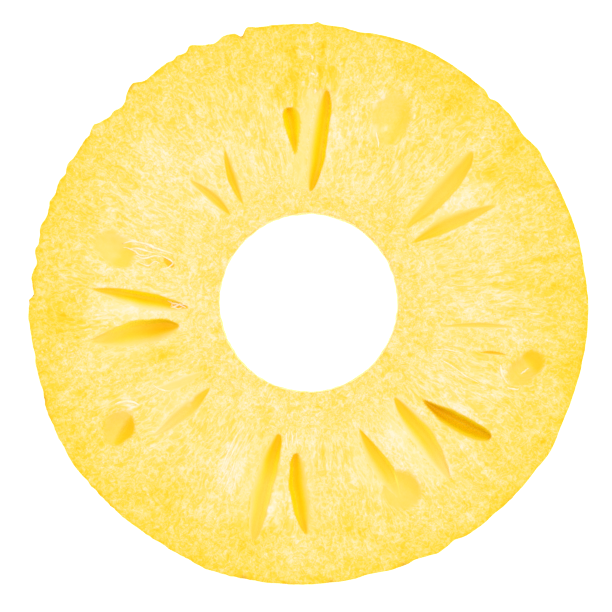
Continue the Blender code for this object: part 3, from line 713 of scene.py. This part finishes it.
def make_flesh():
    """The whole slice as one closed surface, with its pockets, basins and pulpy relief.

    The grain is a mix of pulp, which is noise pushed about by slower noise, and of fibre, which is
    noise drawn out along the radii. The two faces rise by height * noise of the grain, the clouds and
    the slow swells, less in a lining. The rim and the core wall move in by their fray and unevenness.
    The shade is the plain flesh's plus a share of the same grain, then the lining's, the blobs' and
    the golden edge's.
    """
    bearing, radius, height, face, triangles = lay_out_slice()
    points = np.stack([*polar(radius, bearing), height, face])
    faces = (
        (TOP, (TOP_POCKETS, TOP_LININGS), (TOP_CRACKS, TOP_CRACK_LININGS), TOP_BASINS),
        (UNDERSIDE, (UNDER_POCKETS, UNDER_LININGS), ((), ()), UNDER_BASINS),
    )
    for side, pockets, cracks, basins in faces:
        middles = points[:, triangles].mean(axis=2)
        on = (points[3][triangles] == side).all(axis=1)
        chosen = on & by_a_slit(middles[0], middles[1], pockets[0] + cracks[0], FINE_MARGIN)
        points, triangles = divide(points, triangles, chosen)

    # The grain's own place, taken before the slits open, so that it follows their walls.
    x, y, z, face = points
    turn = np.arctan2(y - HOLE_Y, x - HOLE_X)
    from_middle = np.hypot(x - HOLE_X, y - HOLE_Y)
    turn = turn + 0.03 * bumps(x, y, z, 6.0, seed=23)
    spread = 22.0 + 0.10 * from_middle
    fan = np.stack([np.cos(turn) * spread, np.sin(turn) * spread, from_middle / FIBRE_LENGTH])

    # Pockets, basins and cracks.
    labels = ("sunk", "lining", "shade", "stain", "sheltered", "lip")
    fields = {label: np.zeros(x.shape) for label in labels}
    for side, pockets, cracks, basins in faces:
        on = face == side
        here = {label: values[on] for label, values in fields.items()}
        here["taken"] = np.zeros(on.sum())
        x[on], y[on] = open_slits(x[on], y[on], *pockets, POCKET_SEED + side, here)
        open_basins(x[on], y[on], basins, BASIN_SEED + side, here)
        x[on], y[on] = open_slits(x[on], y[on], *cracks, CRACK_SEED + side, here)
        for label, values in fields.items():
            values[on] = here[label]
    sunk, lining, stain = fields["sunk"], fields["lining"], fields["stain"]
    flat_x, flat_y = x - HOLE_X, y - HOLE_Y
    around = np.arctan2(flat_y, flat_x)
    degrees = np.degrees(around)
    out = np.hypot(flat_x, flat_y)
    fan = fan + 0.8 * sunk

    # Pulp and fibre, and how fibrous and how smooth each place is.
    warp_x = flat_x + 0.9 * bumps(flat_x, flat_y, z, 3.1, seed=21)
    warp_y = flat_y + 0.9 * bumps(flat_x, flat_y, z, 3.1, seed=22)
    pulp_place = (warp_x / GRAIN_SIZE, warp_y / GRAIN_SIZE, z / GRAIN_SIZE)
    pulp = layered_noise(*pulp_place, seed=31, layers=2, fall=0.5)
    fibre_place = (fan[0] + 0.3 * pulp, fan[1] + 0.3 * pulp, fan[2] + z / FIBRE_LENGTH_DOWN)
    fibre = layered_noise(*fibre_place, seed=41, layers=2, fall=0.55)
    fibrous = 0.85 * smooth_step(17.0, 24.0, out) * (1.0 - 0.45 * smooth_step(37.0, 44.0, out))
    fibrous = fibrous * (0.72 + 0.45 * np.clip(bumps(flat_x, flat_y, z, 5.0, seed=53), -1.0, 0.6))
    smooth, paler = np.zeros(x.shape), np.zeros(x.shape)
    for near, (amount, pale) in spread_over(flat_x, flat_y, SMOOTH_PLACES):
        smooth = np.where(face == TOP, np.maximum(smooth, amount * near), 0.0)
        paler = np.where(face == TOP, np.maximum(paler, pale * near), 0.0)
    fibrous = np.maximum(fibrous, smooth)
    grainy = (1.0 - 0.6 * fibrous) * pulp + 0.75 * fibrous * fibre
    slow = bumps(flat_x, flat_y, z, SLOW_SIZE, seed=51)
    cloud = bumps(flat_x, flat_y, z, CLOUD_SIZE, seed=52)

    # Relief of the two faces. The underside stays above the plane that it rests on.
    calm = (1.0 - 0.9 * lining) * (1.0 - 0.65 * smooth)
    relief = (GRAIN_HEIGHT * grainy + CLOUD_HEIGHT * cloud) * calm + SLOW_HEIGHT * slow
    z = np.where(face == TOP, z - sunk + relief - 0.05, z)
    z = np.where(face == UNDERSIDE, np.maximum(FACE_LOW, z + sunk + np.abs(relief) * 0.8), z)

    # Unevenness of the two walls, and the fray of the edges next to them, coarsest at the upper left.
    from_rim = rim_radius(degrees) - out
    near_rim = 1.0 - smooth_step(0.1, 1.4, np.where(face == RIM, 0.0, from_rim))
    tooth = np.abs(gradient_noise(around * RIM_RADIUS / COARSE_TOOTH, z / 9.0, 0.5, seed=62))
    tooth = tooth + 0.5 * np.abs(gradient_noise(around * RIM_RADIUS / FINE_TOOTH, z / 5.0, 0.5, seed=63))
    at_left = smooth_step(85.0, 105.0, np.abs(degrees))
    at_upper_left = smooth_step(95.0, 105.0, degrees)
    coarser = 0.45 + 0.55 * at_left + 0.35 * at_upper_left
    fray = near_rim * (face != CORE_WALL) * (FRAY_IN * tooth - FRAY_OUT) * coarser
    near_hole = 1.0 - smooth_step(0.1, 1.2, np.where(face == CORE_WALL, 0.0, out - CORE_RADIUS))
    core_fray = gradient_noise(around * CORE_RADIUS / FINE_TOOTH, z / 5.0, 0.5, seed=64)
    core_fray = WALL_UNEVENNESS * near_hole * core_fray
    rim_depth = WALL_UNEVENNESS + WALL_UNEVENNESS * slow - 0.10 * grainy
    depth_in = np.where(face == RIM, rim_depth, core_fray) + fray
    x = x - np.cos(around) * depth_in
    y = y - np.sin(around) * depth_in

    # Shade of the top, with a painted highlight beside the pockets' lips, the underside and the two walls,
    # then of the linings.
    shade = shade_of_flesh(flat_x, flat_y, out) + paler + 0.13 * fields["lip"]
    flecked = GRAIN_SHADE * grainy + CLOUD_SHADE * cloud + SLOW_SHADE * slow
    shade = shade + flecked * (1.0 - 0.6 * smooth)
    under_shade = UNDER_SHADE - 0.12 * smooth_step(32.0, 45.0, out) + 0.09 * grainy + 0.04 * cloud
    shade = np.where(face == UNDERSIDE, under_shade, shade)
    shade = np.where(face == CORE_WALL, CORE_SHADE + 0.08 * grainy, shade)
    shade = np.where(face == RIM, RIM_SHADE + 0.12 * grainy + 0.07 * slow + 0.05 * cloud, shade)
    shade = np.maximum(shade, DEEPEST_SHADE)
    shade = shade + (fields["shade"] + 0.015 * grainy - shade) * lining

    # Blobs of pulp, the rim's edge, more golden and patchily brown in its last 0.75 mm, and traces of rind.
    blobs = np.zeros(x.shape)
    for near, (pale,) in spread_over(flat_x, flat_y, PULP_BLOBS):
        blob = smooth_step(0.20, 0.95, near + 0.40 * grainy) * (face == TOP)
        blobs = np.maximum(blobs, pale * blob)
    shade = shade + blobs
    z = z + BLOB_HEIGHT * blobs
    edge = (1.0 - smooth_step(0.05, 0.75, from_rim)) * (face != CORE_WALL)
    uneven = gradient_noise(np.cos(around) * 9.0, np.sin(around) * 9.0, z / 3.0, seed=61)
    shade = shade - edge * (0.10 + 0.12 * np.clip(uneven + 0.2, 0.0, 1.0))
    stain = np.maximum(stain, 0.5 * edge * smooth_step(0.1, 0.8, uneven))
    rind = np.zeros(x.shape)
    for place, half_width in RIND_TRACES:
        beside = degrees_past(place, degrees) / half_width
        trace = np.exp(-beside * beside) * (1.0 - smooth_step(0.1, 0.9 + 0.5 * grainy, from_rim))
        trace = trace * smooth_step(FACE_HIGH - 3.0, FACE_HIGH - 0.6, z + 1.4 * grainy)
        rind = np.maximum(rind, np.where(face != CORE_WALL, 0.6 * trace, 0.0))

    coarseness = 1.0 + 0.09 * smooth_step(27.0, 42.0, out)
    attributes = {
        "grain": (fan + np.array([[0.0], [0.0], [1.0]]) * z / FIBRE_LENGTH_DOWN).T,
        "shade": shade,
        "coarseness": coarseness * (1.0 - 0.93 * np.maximum(lining, 0.45 * smooth)),
        "stain": stain,
        "rind": rind,
        "sheltered": fields["sheltered"],
        "fibrous": fibrous,
    }
    return new_mesh_object("pineapple_flesh", np.stack([x, y, z], axis=1), triangles, attributes)


flesh = make_flesh()


# Colours of the flesh from the most golden to a dry cream fibre, each with its shade, and paler lemon
# colours of the wet lining of a pocket, a painted fill light where its walls hide the light, which still
# looks deeper than this because its walls light each other.
FLESH_COLOURS = (
    (0.00, (251, 206, 0)),
    (0.03, (252, 211, 7)),
    (0.24, (252, 221, 60)),
    (0.376, (252, 225, 94)),
    (0.50, (253, 230, 125)),
    (0.612, (253, 235, 153)),
    (0.708, (254, 239, 177)),
    (0.812, (255, 243, 203)),
    (1.00, (255, 249, 228)),
)
PAINTED_LIGHT_LINING_COLOURS = (
    (0.00, (0.985, 0.94, 0.001)),
    (0.20, (0.985, 0.94, 0.05)),
    (0.40, (0.985, 0.935, 0.18)),
    (0.60, (0.985, 0.935, 0.32)),
)
# Brown of the stains; in the pockets it is partly stain and partly painted shade of their depth.
STAIN_AND_SHADE_COLOUR = (0.845, 0.468, 0.001, 1.0)
RIND_COLOUR = (0.58, 0.32, 0.03, 1.0)
LIGHT_LEVEL = 1.12

# The fine pattern of the cut flesh: strength of its soft flecks, of its net of pale ridges, painted
# paler as wet highlights too, and of its bright wet specks, which are painted glints, the noise within
# which a ridge shows, how low the net sinks between ridges, and the noise above which a glint shows.
FLECK_STRENGTH = 1.05
RIDGE_AND_HIGHLIGHT_STRENGTH = 2.9
PAINTED_GLINT_STRENGTH = 1.7
RIDGE_WIDTH = 0.056
RIDGE_LOWEST = -0.030
PAINTED_GLINT_FROM = 0.64


def painted(screen_colour):
    """The surface colour that shows as a screen colour under this scene's light.

    Green and blue are made linear, then divided by the light's level, less the gloss's 0.01. Red is
    full for all of this fruit's yellows.
    """
    linear = []
    for value in screen_colour:
        v = value / 255.0
        linear.append(v / 12.92 if v < 0.04045 else ((v + 0.055) / 1.055) ** 2.4)
    return (0.985,) + tuple(max(0.002, v / LIGHT_LEVEL - 0.01) for v in linear[1:]) + (1.0,)


def start_material(name):
    """A new material, its nodes, and the shader that the others feed."""
    material = bpy.data.materials.new(name)
    material.use_nodes = True
    nodes = material.node_tree.nodes
    return material, nodes, nodes["Principled BSDF"]


def feed(socket, value):
    """Sets a socket to a number or a colour, or links it to another node's output."""
    if isinstance(value, (int, float, tuple)):
        socket.default_value = value
    else:
        socket.id_data.links.new(value, socket)


def value_of(nodes, label, output="Fac"):
    """A named value that each point of the mesh carries."""
    made = nodes.new("ShaderNodeAttribute")
    made.attribute_name = label
    return made.outputs[output]


def noise(nodes, vector, scale, detail, roughness=0.5, distortion=0.0):
    """Noise from 0 to 1, mostly near a half, in as many finer layers as its detail says."""
    made = nodes.new("ShaderNodeTexNoise")
    settings = (vector, scale, detail, roughness, distortion)
    for label, value in zip(("Vector", "Scale", "Detail", "Roughness", "Distortion"), settings):
        feed(made.inputs[label], value)
    return made.outputs["Fac"]


def reckon(nodes, first, sign, second=0.0):
    """The sum, difference, product, higher or size without sign of its two values."""
    made = nodes.new("ShaderNodeMath")
    operations = {"+": "ADD", "-": "SUBTRACT", "*": "MULTIPLY", "max": "MAXIMUM", "abs": "ABSOLUTE"}
    made.operation = operations[sign]
    feed(made.inputs[0], first)
    feed(made.inputs[1], second)
    return made.outputs[0]


def ramp_of(nodes, value, colours):
    """The colour at a value, blended between the named ones. Screen colours go up to 255."""
    made = nodes.new("ShaderNodeValToRGB")
    feed(made.inputs[0], value)
    stops = made.color_ramp.elements
    while len(stops) < len(colours):
        stops.new(0.5)
    for stop, (position, colour) in zip(stops, colours):
        stop.position = position
        stop.color = painted(colour) if colour[0] > 1 else (*colour, 1.0)
    return made.outputs[0]


def mixed(nodes, kind, amount, first, second):
    """The first where the amount is 0, the second where it is 1."""
    made = nodes.new("ShaderNodeMix")
    made.data_type = kind
    from_socket, to_socket, result = {"FLOAT": (2, 3, 0), "RGBA": (6, 7, 2)}[kind]
    feed(made.inputs["Factor"], amount)
    feed(made.inputs[from_socket], first)
    feed(made.inputs[to_socket], second)
    return made.outputs[result]


def raise_bumps(nodes, shader, height, strength, distance):
    """Gives the shader fine bumps of a height, up to a distance in metres."""
    made = nodes.new("ShaderNodeBump")
    feed(made.inputs["Strength"], strength)
    feed(made.inputs["Distance"], distance)
    feed(made.inputs["Height"], height)
    feed(shader.inputs["Normal"], made.outputs[0])


def fine_pattern(nodes):
    """The pattern of cut flesh, about 0: (flecks * 1.05 + crest * 2.9 + painted glints * 1.7) * coarseness.

    Flecks are noise less a half. The crest is the ridge's width less |noise - a half|, but no lower
    than its lowest, which makes a fine pale net, painted paler as wet highlights too. Painted glints,
    bright wet specks, are noise less 0.64, but no lower than 0.
    Flecks and crest are each mixed, by how fibrous the flesh is, from round noise and noise drawn out
    along the fibres.
    """
    place = nodes.new("ShaderNodeVectorMath")
    place.operation = "SCALE"
    feed(place.inputs[0], nodes.new("ShaderNodeTexCoord").outputs["Object"])
    feed(place.inputs["Scale"], 1.0 / MM)
    place = place.outputs[0]
    grain = value_of(nodes, "grain", "Vector")
    fibrous = value_of(nodes, "fibrous")
    round_flecks = noise(nodes, place, scale=0.95, detail=3.0, roughness=0.62, distortion=1.1)
    long_flecks = noise(nodes, grain, scale=1.8, detail=3.0, roughness=0.62, distortion=0.35)
    flecks = reckon(nodes, mixed(nodes, "FLOAT", fibrous, round_flecks, long_flecks), "-", 0.5)
    round_net = noise(nodes, place, scale=0.92, detail=1.0, distortion=1.6)
    long_net = noise(nodes, grain, scale=1.7, detail=1.0, distortion=0.5)
    net = reckon(nodes, mixed(nodes, "FLOAT", fibrous, round_net, long_net), "-", 0.5)
    crest = reckon(nodes, RIDGE_WIDTH, "-", reckon(nodes, net, "abs"))
    crest = reckon(nodes, crest, "max", RIDGE_LOWEST)
    painted_glints = reckon(nodes, noise(nodes, place, scale=2.4, detail=1.0), "-", PAINTED_GLINT_FROM)
    painted_glints = reckon(nodes, painted_glints, "max", 0.0)
    pattern = reckon(nodes, flecks, "*", FLECK_STRENGTH)
    pattern = reckon(nodes, pattern, "+", reckon(nodes, crest, "*", RIDGE_AND_HIGHLIGHT_STRENGTH))
    pattern = reckon(nodes, pattern, "+", reckon(nodes, painted_glints, "*", PAINTED_GLINT_STRENGTH))
    return reckon(nodes, pattern, "*", value_of(nodes, "coarseness"))


def flesh_material():
    """Wet flesh by its shade and pattern, with painted glints, painted fill light, stain with painted shade,
    and rind.
    """
    material, nodes, shader = start_material("wet_pineapple_flesh")
    pattern = fine_pattern(nodes)
    shade = reckon(nodes, value_of(nodes, "shade"), "+", pattern)
    in_light = ramp_of(nodes, shade, FLESH_COLOURS)
    # Paler lemon colours where pocket walls hide the light are painted fill light; the brown is partly stain
    # and partly painted shade.
    painted_light_colour = ramp_of(nodes, shade, PAINTED_LIGHT_LINING_COLOURS)
    colour = mixed(nodes, "RGBA", value_of(nodes, "sheltered"), in_light, painted_light_colour)
    colour = mixed(nodes, "RGBA", value_of(nodes, "stain"), colour, STAIN_AND_SHADE_COLOUR)
    colour = mixed(nodes, "RGBA", value_of(nodes, "rind"), colour, RIND_COLOUR)
    feed(shader.inputs["Base Color"], colour)
    feed(shader.inputs["Roughness"], 0.42)
    feed(shader.inputs["IOR"], 1.38)
    feed(shader.inputs["Specular IOR Level"], 0.18)
    raise_bumps(nodes, shader, pattern, strength=0.6, distance=0.12 * MM)
    return material


flesh.data.materials.append(flesh_material())
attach(flesh, "root")
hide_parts("ring_flesh")

# ---------------------------------------------------------------------------------------------
# Loose fibres and glints.
# Pale ends of the flesh's own fibres, torn up by the knife at the lips of the pockets and basins, and a
# few short pale strands that are painted glints of wet juice.
# Each lies on the face, stuck down by juice, and thins to nothing at both ends.

# Half-thickness, height of its middle above the face, and the places it passes, from the middle of the
# hole.
FIBRES_AND_GLINTS = (
    (0.20, 0.12, ((-31.2, 9.8), (-29.2, 10.3), (-27.4, 9.9), (-26.0, 9.3), (-24.6, 8.8), (-22.3, 8.1))),
    (0.26, 0.15, ((-27.3, 9.9), (-26.2, 9.4), (-25.0, 8.9))),
    (0.14, 0.08, ((-31.0, 9.2), (-29.6, 8.9), (-28.2, 8.0), (-26.6, 7.7))),
    (0.14, 0.08, ((-25.2, 8.3), (-23.6, 7.4), (-22.6, 6.6), (-23.4, 5.9), (-25.0, 5.6))),
    (0.13, 0.08, ((-28.6, 6.8), (-26.8, 6.2), (-25.6, 6.9), (-24.6, 6.2))),
    (0.17, 0.10, ((-23.6, 0.4), (-22.6, -0.1), (-21.6, -0.3), (-20.3, -1.0))),
    (0.15, 0.14, ((-23.2, -0.7), (-22.4, -0.7), (-21.2, -0.2), (-20.2, -0.5))),
    (0.13, 0.10, ((-22.9, 0.1), (-22.7, -0.6), (-21.8, -1.0), (-20.9, -0.9))),
    # A painted glint of wet juice, as a short pale strand.
    (0.15, 0.05, ((35.3, -11.95), (36.1, -11.4), (36.9, -10.85))),
    (0.20, 0.05, ((31.9, -10.2), (32.1, -11.4), (32.6, -12.6), (33.4, -13.7))),
    (0.16, 0.05, ((33.0, -14.1), (34.0, -14.4), (35.2, -14.4))),
    (0.24, 0.06, ((-32.4, -16.9), (-31.0, -16.5), (-29.4, -16.5), (-28.0, -17.2))),
    (0.16, 0.05, ((-15.2, -29.4), (-14.0, -26.4), (-12.7, -23.4), (-11.1, -20.6))),
    (0.14, 0.05, ((-14.3, -29.0), (-13.2, -26.2), (-12.1, -23.8))),
    # Painted glints of wet juice, as short pale strands.
    (0.22, 0.04, ((0.5, 41.3), (0.6, 40.9), (0.6, 40.4))),
    (0.22, 0.04, ((1.1, 35.7), (1.1, 35.3), (1.0, 34.9))),
    (0.18, 0.04, ((0.3, 38.3), (0.6, 38.2), (1.1, 38.0))),
    (0.16, 0.06, ((-29.9, 9.0), (-28.4, 9.1), (-26.9, 8.6), (-25.4, 8.3))),
    (0.15, 0.06, ((-28.9, 7.9), (-27.2, 7.4), (-25.8, 7.8), (-24.2, 7.6))),
    (0.15, 0.05, ((-13.0, -32.4), (-12.4, -30.4), (-12.0, -28.4), (-11.9, -26.6))),
    (0.15, 0.05, ((-14.4, -31.8), (-13.4, -29.6), (-12.7, -27.8), (-12.3, -26.2))),
    (0.13, 0.05, ((-15.6, -31.0), (-14.3, -29.2), (-13.2, -27.9))),
    (0.14, 0.04, ((-3.6, -21.4), (-3.7, -23.0), (-3.4, -24.6))),
    (0.13, 0.04, ((-2.8, -21.2), (-2.7, -22.6), (-2.9, -24.2))),
    (0.13, 0.04, ((-1.9, -21.4), (-2.0, -22.8), (-1.8, -24.0))),
    (0.18, 0.04, ((-26.0, -13.6), (-25.2, -14.2), (-24.2, -14.6), (-23.0, -14.7))),
    (0.17, 0.05, ((11.1, 28.6), (11.5, 27.4), (11.7, 25.6))),
    (0.13, 0.05, ((21.6, -9.2), (24.0, -10.6), (26.2, -12.2), (28.6, -13.4))),
    (0.12, 0.05, ((20.6, -7.8), (23.4, -7.9), (26.0, -8.4))),
)
FIBRE_STEPS = 22
FIBRE_SIDES = 8
FIBRE_FLATNESS = 0.75
SUNK_IN_JUICE = 0.02

# Points of the top face alone lie above this height over the underside, and within this radius, short
# of the frayed rim.
ABOVE = 7.0
WITHIN = 45.5


def height_of_face(x, y):
    """Height of the slice's top face at each place, that of its nearest point, in millimetres."""
    spots = np.empty(len(flesh.data.vertices) * 3, np.float32)
    flesh.data.vertices.foreach_get("co", spots)
    spots = spots.reshape(-1, 3) / MM
    out = np.hypot(spots[:, 0] - HOLE_X, spots[:, 1] - HOLE_Y)
    spots = spots[(spots[:, 2] > FACE_LOW + ABOVE) & (out < WITHIN)]
    apart = np.hypot(spots[:, 0] - x[:, None], spots[:, 1] - y[:, None])
    return spots[apart.argmin(axis=1), 2]


def through(places, count):
    """A smooth path through the given places.

    Each stretch is a cubic with the slopes of the chords at its ends a and b: (2t^3 - 3t^2 + 1) a +
    (t^3 - 2t^2 + t) slope at a + (3t^2 - 2t^3) b + (t^3 - t^2) slope at b.
    """
    places = np.array(places, float)
    slopes = np.gradient(places, axis=0)
    at = np.linspace(0.0, len(places) - 1.0, count)
    first = np.minimum(at.astype(int), len(places) - 2)
    t = (at - first)[:, None]
    a, b, c, d = places[first], places[first + 1], slopes[first], slopes[first + 1]
    start = (2 * t**3 - 3 * t**2 + 1) * a + (t**3 - 2 * t**2 + t) * c
    return start + (3 * t**2 - 2 * t**3) * b + (t**3 - t**2) * d


def tapered_tube(middle, side, up, radius):
    """Rings of points round a path, closed by a point at both ends.

    At turn a a ring's point is middle + radius * (cos a * side + 0.75 sin a * up), so a fibre is a
    little flat.
    """
    turn = np.arange(FIBRE_SIDES)[None, :, None] * math.tau / FIBRE_SIDES
    round_path = np.cos(turn) * side[1:-1, None] + FIBRE_FLATNESS * np.sin(turn) * up[1:-1, None]
    rings = middle[1:-1, None] + radius[1:-1, None, None] * round_path
    count = len(rings)
    points = np.concatenate([middle[:1], rings.reshape(-1, 3), middle[-1:]])
    here = 1 + np.arange(count * FIBRE_SIDES).reshape(count, FIBRE_SIDES)
    on = np.roll(here, -1, axis=1)
    sides = [
        np.stack([here[:-1], here[1:], on[1:]], axis=2).reshape(-1, 3),
        np.stack([here[:-1], on[1:], on[:-1]], axis=2).reshape(-1, 3),
        np.stack([np.zeros(FIBRE_SIDES, int), here[0], on[0]], axis=1),
        np.stack([here[-1], np.full(FIBRE_SIDES, len(points) - 1), on[-1]], axis=1),
    ]
    return points, np.concatenate(sides)


def make_fibres_and_glints():
    """All loose fibres and painted glints as one mesh.

    At t along it a fibre is as thick as its half-thickness * sin(pi t)^0.6, made a little uneven by
    noise, and its middle lies its lift * sin(pi t) above the face.
    """
    all_points, all_triangles = [], []
    made = 0
    t = np.linspace(0.0, 1.0, FIBRE_STEPS)
    arch = np.sin(math.pi * t)
    up = np.tile([0.0, 0.0, 1.0], (FIBRE_STEPS, 1))
    for number, (thickness, lift, places) in enumerate(FIBRES_AND_GLINTS):
        path = through(places, FIBRE_STEPS)
        wave = 0.12 * gradient_noise(t * 5.0, number * 3.1, 0.5, seed=71)
        heading = np.gradient(path, axis=0)
        heading = heading / np.hypot(heading[:, 0], heading[:, 1])[:, None]
        path = path + wave[:, None] * np.stack([-heading[:, 1], heading[:, 0]], axis=1)
        x, y = HOLE_X + path[:, 0], HOLE_Y + path[:, 1]
        level = height_of_face(x, y)
        level = np.convolve(np.pad(level, 2, mode="edge"), np.full(5, 0.2), mode="valid")
        middle = np.stack([x, y, level + lift * arch - SUNK_IN_JUICE], axis=1)
        side = np.stack([heading[:, 1], -heading[:, 0], 0.0 * t], axis=1)
        uneven = 1.0 + 0.40 * gradient_noise(t * 5.0, number * 1.7, 1.5, seed=72)
        points, triangles = tapered_tube(middle, side, up, thickness * arch ** 0.6 * uneven)
        all_points.append(points)
        all_triangles.append(triangles + made)
        made += len(points)
    return new_mesh_object("loose_fibres_and_glints", np.concatenate(all_points), np.concatenate(all_triangles), {})


# Cream of the fibres, which the painted glints wear too.
FIBRE_AND_GLINT_COLOURS = ((0.30, (254, 244, 176)), (0.62, (255, 253, 226)))


def fibre_and_glint_material():
    """Wet cream fibre, also worn by the painted glints, with fine paler and more golden stretches along it.

    One noise, about 0.7 mm from bump to bump, gives both the colour and the bumps.
    """
    material, nodes, shader = start_material("cream_fibre_and_glint")
    place = nodes.new("ShaderNodeTexCoord").outputs["Object"]
    stretches = noise(nodes, place, scale=1400.0, detail=3.0)
    feed(shader.inputs["Base Color"], ramp_of(nodes, stretches, FIBRE_AND_GLINT_COLOURS))
    feed(shader.inputs["Roughness"], 0.34)
    feed(shader.inputs["IOR"], 1.38)
    raise_bumps(nodes, shader, stretches, strength=0.5, distance=0.06 * MM)
    return material


fibres_and_glints = make_fibres_and_glints()
fibres_and_glints.data.materials.append(fibre_and_glint_material())
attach(fibres_and_glints, "root")

# ---------------------------------------------------------------------------------------------
# The white floor, the light and the camera.
# The slice lies on white paper that glows a little, so it shows as pure white. White light comes from
# all round, and a wide soft lamp hangs behind it on the right. The camera looks straight down.

WHITE = (1, 1, 1, 1)
PAPER = (0.85, 0.85, 0.85, 1)

# Lens and sensor in millimetres. In metres: the width seen at the slice's top, the height of that top,
# and how far aside from the middle of the hole the camera hangs.
LENS = 250
SENSOR = 36
VIEW_WIDTH = 0.102
SLICE_TOP = 0.012
EYE_FROM_HOLE = (-0.00043, -0.00055)

bpy.ops.mesh.primitive_plane_add(size=3.0)
floor = bpy.context.active_object
floor.name = "floor"
paper, _, paper_shader = start_material("floor_paper")
feed(paper_shader.inputs["Base Color"], PAPER)
feed(paper_shader.inputs["Emission Color"], WHITE)
feed(paper_shader.inputs["Emission Strength"], 0.8)
floor.data.materials.append(paper)

world = bpy.data.worlds.new("studio")
bpy.context.scene.world = world
world.use_nodes = True
sky = world.node_tree.nodes["Background"]
feed(sky.inputs["Color"], WHITE)
feed(sky.inputs["Strength"], 0.92)
sun = bpy.data.lights.new("key", "SUN")
sun.energy = 0.72
sun.angle = math.radians(25)
key = bpy.data.objects.new("key", sun)
key.rotation_euler = (math.radians(-14), math.radians(14), 0)
bpy.context.scene.collection.objects.link(key)

camera = bpy.data.cameras.new("camera")
camera.lens = LENS
camera.sensor_width = SENSOR
eye = bpy.data.objects.new("camera", camera)
eye_x = HOLE_X * MM + EYE_FROM_HOLE[0]
eye_y = HOLE_Y * MM + EYE_FROM_HOLE[1]
eye.location = (eye_x, eye_y, SLICE_TOP + VIEW_WIDTH * LENS / SENSOR)
bpy.context.scene.collection.objects.link(eye)
bpy.context.scene.camera = eye
bpy.context.scene.view_settings.view_transform = "Standard"
bpy.context.scene.cycles.diffuse_bounces = 12
bpy.context.scene.cycles.max_bounces = 16
